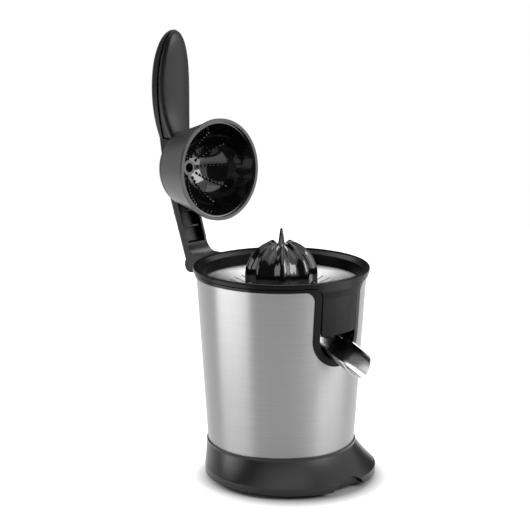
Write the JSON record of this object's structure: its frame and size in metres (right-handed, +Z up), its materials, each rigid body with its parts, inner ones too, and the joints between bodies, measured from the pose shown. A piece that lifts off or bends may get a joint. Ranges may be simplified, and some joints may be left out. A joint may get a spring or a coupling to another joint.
{
  "type": "citrus press juicer",
  "caption": "Lever-arm citrus press: tapered brushed steel body on a flared base, ribbed cone in a cup with strainer, swing-down press bowl on a long handle, and a tilting spout.",
  "frame": {"origin": "on the table, under the axis of the cone", "axes": "+Z up along the cone axis, -Y to the front where the spout points, +X to the right seen from the front"},
  "size_m": [0.177, 0.2915, 0.437],
  "materials": {
    "base_black": "satin",
    "foot_rubber": "matte",
    "steel": "brushed",
    "steel_bright": "polished",
    "trim_black": "satin",
    "cup_grey": "satin",
    "cone_black": "gloss",
    "handle_black": "satin",
    "bowl_grey": "satin",
    "insert_black": "gloss",
    "fixing_steel": "plain",
    "frame_plastic": "plain",
    "sheet_steel": "plain",
    "lamination": "plain",
    "winding": "enamelled",
    "bearing": "plain",
    "gear_white": "plain"
  },
  "bodies": {
    "housing": {"base_skirt": "base_black", "base_plate": "base_black", "rubber_feet": "foot_rubber", "base_screws": "fixing_steel", "cord_gland": "foot_rubber", "steel_housing": "steel", "top_well": "trim_black", "spindle_seal": "foot_rubber", "hinge_pin": "fixing_steel", "spout_pins": "fixing_steel", "juice_container": "cup_grey", "strainer": "steel", "chassis": "frame_plastic", "motor_stator": "lamination", "motor_coil": "winding", "motor_bracket_lower": "sheet_steel", "motor_bracket_upper": "sheet_steel", "motor_bushes": "bearing", "motor_screws": "fixing_steel", "gearbox_base": "frame_plastic", "gearbox_cover": "frame_plastic", "gearbox_screws": "fixing_steel", "idler_pin": "fixing_steel", "spindle_bush": "bearing", "spindle_bridge": "sheet_steel", "return_spring": "fixing_steel", "micro_switch": "base_black"},
    "arm": {"arm_top_shell": "handle_black", "arm_under_shell": "handle_black", "press_bowl": "bowl_grey", "press_insert": "insert_black", "bowl_screws": "fixing_steel", "hinge_bush": "bearing"},
    "spout": {"spout": "steel_bright"},
    "press_slide": {"thrust_plate": "sheet_steel"},
    "drive": {"reamer_cone": "cone_black", "drive_spindle": "fixing_steel", "output_gear": "gear_white"},
    "rotor": {"motor_rotor": "lamination", "motor_shaft": "fixing_steel", "cooling_fan": "gear_white", "motor_pinion": "gear_white"},
    "idler": {"idler_gear": "gear_white"},
    "plunger": {"switch_plunger": "gear_white"}
  },
  "joints": [
    {"name": "arm_lift", "type": "hinge", "parent": "housing", "child": "arm", "pos_m": [0, 0.0932, 0.2053], "axis": [1, 0, 0], "range_deg": [0, 94.75]},
    {"name": "spout_tilt", "type": "hinge", "parent": "housing", "child": "spout", "pos_m": [0, -0.066, 0.147], "axis": [-1, 0, 0], "range_deg": [0, 40]},
    {"name": "cone_press", "type": "slide", "parent": "housing", "child": "press_slide", "axis": [0, 0, -1], "range_m": [0, 0.002], "stiffness_N_per_m": 1500, "springref_m": -0.004, "deforming": ["return_spring"]},
    {"name": "cone_spin", "type": "hinge", "parent": "press_slide", "child": "drive", "pos_m": [0, 0, 0.2], "axis": [0, 0, 1], "continuous": true},
    {"name": "rotor_spin", "type": "hinge", "parent": "housing", "child": "rotor", "pos_m": [0, 0, 0.07], "axis": [0, 0, 1], "continuous": true},
    {"name": "idler_spin", "type": "hinge", "parent": "housing", "child": "idler", "pos_m": [0, 0.0315, 0.115], "axis": [0, 0, 1], "continuous": true},
    {"name": "switch_press", "type": "slide", "parent": "housing", "child": "plunger", "axis": [0, 0, -1], "range_m": [0, 0.002]}
  ],
  "couplings": [
    {"joint": "idler_spin", "follows": "rotor_spin", "ratio": -0.25},
    {"joint": "cone_spin", "follows": "rotor_spin", "ratio": 0.0625},
    {"joint": "switch_press", "follows": "cone_press", "ratio": 1}
  ]
}
